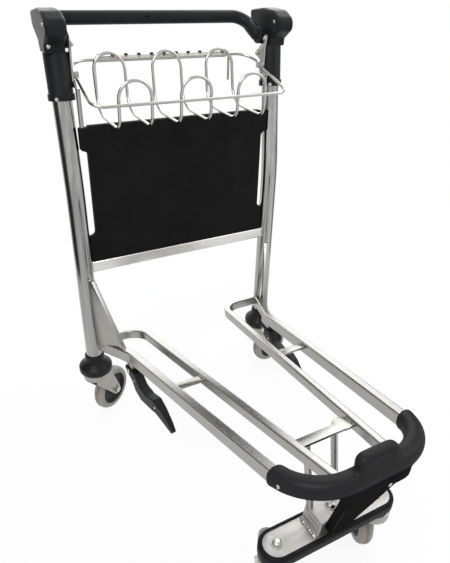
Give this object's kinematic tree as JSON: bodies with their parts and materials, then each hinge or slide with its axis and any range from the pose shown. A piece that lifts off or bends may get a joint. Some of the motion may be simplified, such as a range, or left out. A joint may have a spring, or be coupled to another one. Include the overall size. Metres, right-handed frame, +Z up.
{
  "type": "luggage trolley",
  "caption": "Luggage trolley: chrome uprights, wire basket under a hinged push handle, back panel, sloping tube load deck with a rubber nose, swivel casters and foot levers.",
  "frame": {"origin": "on the floor, under the middle of the trolley's box", "axes": "+Z up from the floor, the longest extent; -Y towards the nose, the way the trolley is pushed; +X to the left of the person who pushes"},
  "size_m": [0.6814, 0.8971, 1.0469],
  "materials": {
    "chrome_tube": "bright chrome-plated round tube",
    "chrome_wire": "bright chrome-plated wire",
    "zinc_tube": "bright zinc-plated rectangular tube, faintly brushed",
    "zinc_plate": "dull zinc-plated sheet",
    "bright_plate": "brushed zinc-plated plate",
    "fork_zinc": "pressed zinc-plated sheet",
    "fastener": "zinc-plated fasteners",
    "black_plastic": "charcoal satin moulded plastic",
    "grip_foam": "charcoal satin plastic sleeve",
    "panel_plastic": "matt black plastic sheet",
    "skid_plastic": "black plastic plate, rubbed at the edges",
    "black_rubber": "black moulded rubber, satin",
    "pale_strip": "pale plastic strip",
    "grey_tyre": "grey rubber tread, stained along the middle",
    "wheel_hub": "black plastic wheel centre"
  },
  "bodies": {
    "frame": {"axle_saddle": "bright_plate", "back_panel": "panel_plastic", "basket_bracket_left": "zinc_plate", "basket_bracket_right": "zinc_plate", "basket_hoop_left": "chrome_wire", "basket_hoop_middle": "chrome_wire", "basket_hoop_right": "chrome_wire", "basket_rim": "chrome_wire", "basket_stays": "chrome_wire", "basket_strip": "pale_strip", "basket_studs": "black_rubber", "beam_edging": "black_rubber", "braces": "zinc_plate", "caster_bells": "black_rubber", "caster_seats": "fastener", "caster_stems": "fastener", "deck_straps": "zinc_tube", "frame_bolts": "fastener", "front_beam": "bright_plate", "front_plate": "zinc_tube", "front_struts": "bright_plate", "gussets": "zinc_plate", "housing_left": "black_plastic", "housing_right": "black_plastic", "inner_rail_left": "zinc_tube", "inner_rail_right": "zinc_tube", "lever_brackets": "zinc_plate", "lower_crossbar": "zinc_tube", "nose_bumper": "black_rubber", "outer_rail": "zinc_tube", "panel_rods": "chrome_tube", "skid_plate": "skid_plastic", "sleeve_left": "black_plastic", "sleeve_right": "black_plastic", "trim_screws": "fastener", "upright_left": "chrome_tube", "upright_right": "chrome_tube"},
    "brake_handle": {"handle_core": "zinc_plate", "handle_grip": "grip_foam", "handle_hubs": "black_plastic"},
    "caster_rear_right": {"fork_rear_right": "fork_zinc", "axle_rear_right": "fastener"},
    "wheel_rear_right": {"tyre_rear_right": "grey_tyre", "hub_rear_right": "wheel_hub"},
    "caster_rear_left": {"fork_rear_left": "fork_zinc", "axle_rear_left": "fastener"},
    "wheel_rear_left": {"tyre_rear_left": "grey_tyre", "hub_rear_left": "wheel_hub"},
    "caster_front_right": {"fork_front_right": "fork_zinc", "axle_front_right": "fastener"},
    "wheel_front_right": {"tyre_front_right": "grey_tyre", "hub_front_right": "wheel_hub"},
    "caster_front_left": {"fork_front_left": "fork_zinc", "axle_front_left": "fastener"},
    "wheel_front_left": {"tyre_front_left": "grey_tyre", "hub_front_left": "wheel_hub"},
    "lever_right": {"foot_lever_right": "black_plastic"},
    "lever_left": {"foot_lever_left": "black_plastic"}
  },
  "joints": [
    {"name": "brake_handle_hinge", "type": "hinge", "parent": "frame", "child": "brake_handle", "pos_m": [-0.03472, 0.37507, 0.988], "axis": [-1, 0, 0], "range_deg": [0, 18], "stiffness_Nm_per_rad": 9, "springref_deg": -20.05},
    {"name": "caster_rear_right_swivel", "type": "hinge", "parent": "frame", "child": "caster_rear_right", "pos_m": [-0.29672, 0.33707, 0.15], "axis": [0, 0, 1], "continuous": true},
    {"name": "wheel_rear_right_spin", "type": "hinge", "parent": "caster_rear_right", "child": "wheel_rear_right", "pos_m": [-0.25412, 0.36689, 0.0625], "axis": [-0.5736, 0.8192, 0], "continuous": true},
    {"name": "caster_rear_left_swivel", "type": "hinge", "parent": "frame", "child": "caster_rear_left", "pos_m": [0.22728, 0.33707, 0.15], "axis": [0, 0, 1], "continuous": true},
    {"name": "wheel_rear_left_spin", "type": "hinge", "parent": "caster_rear_left", "child": "wheel_rear_left", "pos_m": [0.27814, 0.34788, 0.0625], "axis": [-0.2079, 0.9781, 0], "continuous": true},
    {"name": "caster_front_right_swivel", "type": "hinge", "parent": "frame", "child": "caster_front_right", "pos_m": [-0.15572, -0.34793, 0.15], "axis": [0, 0, 1], "continuous": true},
    {"name": "wheel_front_right_spin", "type": "hinge", "parent": "caster_front_right", "child": "wheel_front_right", "pos_m": [-0.13457, -0.30043, 0.0625], "axis": [-0.9135, 0.4067, 0], "continuous": true},
    {"name": "caster_front_left_swivel", "type": "hinge", "parent": "frame", "child": "caster_front_left", "pos_m": [0.08628, -0.34793, 0.15], "axis": [0, 0, 1], "continuous": true},
    {"name": "wheel_front_left_spin", "type": "hinge", "parent": "caster_front_left", "child": "wheel_front_left", "pos_m": [0.10907, -0.3012, 0.0625], "axis": [-0.8988, 0.4384, 0], "continuous": true},
    {"name": "foot_lever_right_hinge", "type": "hinge", "parent": "frame", "child": "lever_right", "pos_m": [-0.23572, 0.20007, 0.239], "axis": [-0.9949, -0.1013, 0], "range_deg": [0, 12]},
    {"name": "foot_lever_left_hinge", "type": "hinge", "parent": "frame", "child": "lever_left", "pos_m": [0.16628, 0.20007, 0.239], "axis": [-0.9949, 0.1013, 0], "range_deg": [0, 8]}
  ]
}
